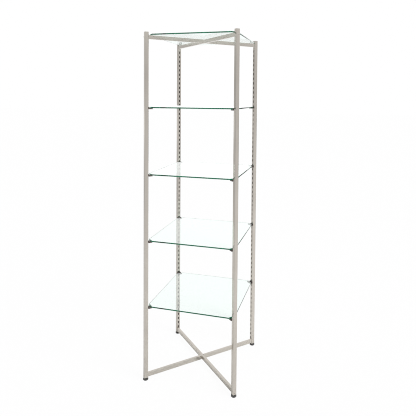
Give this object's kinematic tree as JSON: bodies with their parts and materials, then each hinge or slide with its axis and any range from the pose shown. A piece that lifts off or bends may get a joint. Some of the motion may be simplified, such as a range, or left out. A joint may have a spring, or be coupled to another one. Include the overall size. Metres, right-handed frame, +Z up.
{
  "type": "glass shelving tower",
  "caption": "Tall open display tower: slotted square metal posts joined by crossed rails, with clipped square glass shelves on hook-in rests, standing on levelling feet.",
  "frame": {"origin": "on the floor, below the middle of the tower", "axes": "+Z up along the posts, -Y towards the front, +X to the right seen from the front"},
  "size_m": [0.478, 0.478, 1.727],
  "materials": {
    "satin_nickel": "satin nickel plate on steel tube",
    "zinc_steel": "bright zinc plate",
    "black_steel": "black satin powder coat",
    "black_plastic": "moulded black nylon",
    "clear_glass": "clear float glass with polished edges that look green"
  },
  "bodies": {
    "frame": {"post_front_left": "satin_nickel", "post_cap_front_left": "satin_nickel", "foot_socket_front_left": "black_plastic", "post_front_right": "satin_nickel", "post_cap_front_right": "satin_nickel", "foot_socket_front_right": "black_plastic", "post_back_right": "satin_nickel", "post_cap_back_right": "satin_nickel", "foot_socket_back_right": "black_plastic", "post_back_left": "satin_nickel", "post_cap_back_left": "satin_nickel", "foot_socket_back_left": "black_plastic", "rail_top_through": "satin_nickel", "rail_top_front_left": "satin_nickel", "rail_top_back_right": "satin_nickel", "rail_insert_top_front_left": "zinc_steel", "post_screw_top_front_left": "satin_nickel", "rail_insert_top_front_right": "zinc_steel", "post_screw_top_front_right": "satin_nickel", "rail_insert_top_back_right": "zinc_steel", "post_screw_top_back_right": "satin_nickel", "rail_insert_top_back_left": "zinc_steel", "post_screw_top_back_left": "satin_nickel", "rail_bottom_through": "satin_nickel", "rail_bottom_front_left": "satin_nickel", "rail_bottom_back_right": "satin_nickel", "rail_insert_bottom_front_left": "zinc_steel", "post_screw_bottom_front_left": "satin_nickel", "rail_insert_bottom_front_right": "zinc_steel", "post_screw_bottom_front_right": "satin_nickel", "rail_insert_bottom_back_right": "zinc_steel", "post_screw_bottom_back_right": "satin_nickel", "rail_insert_bottom_back_left": "zinc_steel", "post_screw_bottom_back_left": "satin_nickel", "shelf_rest_2_front_left": "black_steel", "shelf_rest_2_front_right": "black_steel", "shelf_rest_2_back_right": "black_steel", "shelf_rest_2_back_left": "black_steel", "shelf_rest_3_front_left": "black_steel", "shelf_rest_3_front_right": "black_steel", "shelf_rest_3_back_right": "black_steel", "shelf_rest_3_back_left": "black_steel", "shelf_rest_4_front_left": "black_steel", "shelf_rest_4_front_right": "black_steel", "shelf_rest_4_back_right": "black_steel", "shelf_rest_4_back_left": "black_steel", "shelf_rest_5_front_left": "black_steel", "shelf_rest_5_front_right": "black_steel", "shelf_rest_5_back_right": "black_steel", "shelf_rest_5_back_left": "black_steel"},
    "shelf_1": {"glass_shelf_1": "clear_glass"},
    "shelf_2": {"glass_shelf_2": "clear_glass"},
    "shelf_3": {"glass_shelf_3": "clear_glass"},
    "shelf_4": {"glass_shelf_4": "clear_glass"},
    "shelf_5": {"glass_shelf_5": "clear_glass"},
    "foot_front_left": {"levelling_foot_front_left": "black_plastic"},
    "foot_front_right": {"levelling_foot_front_right": "black_plastic"},
    "foot_back_right": {"levelling_foot_back_right": "black_plastic"},
    "foot_back_left": {"levelling_foot_back_left": "black_plastic"}
  },
  "joints": [
    {"name": "shelf_1_lift", "type": "slide", "parent": "frame", "child": "shelf_1", "axis": [0, 0, 1], "range_m": [0, 0.15]},
    {"name": "shelf_2_lift", "type": "slide", "parent": "frame", "child": "shelf_2", "axis": [0, 0, 1], "range_m": [0, 0.3]},
    {"name": "shelf_3_lift", "type": "slide", "parent": "frame", "child": "shelf_3", "axis": [0, 0, 1], "range_m": [0, 0.3]},
    {"name": "shelf_4_lift", "type": "slide", "parent": "frame", "child": "shelf_4", "axis": [0, 0, 1], "range_m": [0, 0.3]},
    {"name": "shelf_5_lift", "type": "slide", "parent": "frame", "child": "shelf_5", "axis": [0, 0, 1], "range_m": [0, 0.3]},
    {"name": "foot_front_left_turn", "type": "hinge", "parent": "frame", "child": "foot_front_left", "pos_m": [-0.226, -0.226, 0], "axis": [0, 0, 1], "continuous": true},
    {"name": "foot_front_right_turn", "type": "hinge", "parent": "frame", "child": "foot_front_right", "pos_m": [0.226, -0.226, 0], "axis": [0, 0, 1], "continuous": true},
    {"name": "foot_back_right_turn", "type": "hinge", "parent": "frame", "child": "foot_back_right", "pos_m": [0.226, 0.226, 0], "axis": [0, 0, 1], "continuous": true},
    {"name": "foot_back_left_turn", "type": "hinge", "parent": "frame", "child": "foot_back_left", "pos_m": [-0.226, 0.226, 0], "axis": [0, 0, 1], "continuous": true}
  ]
}
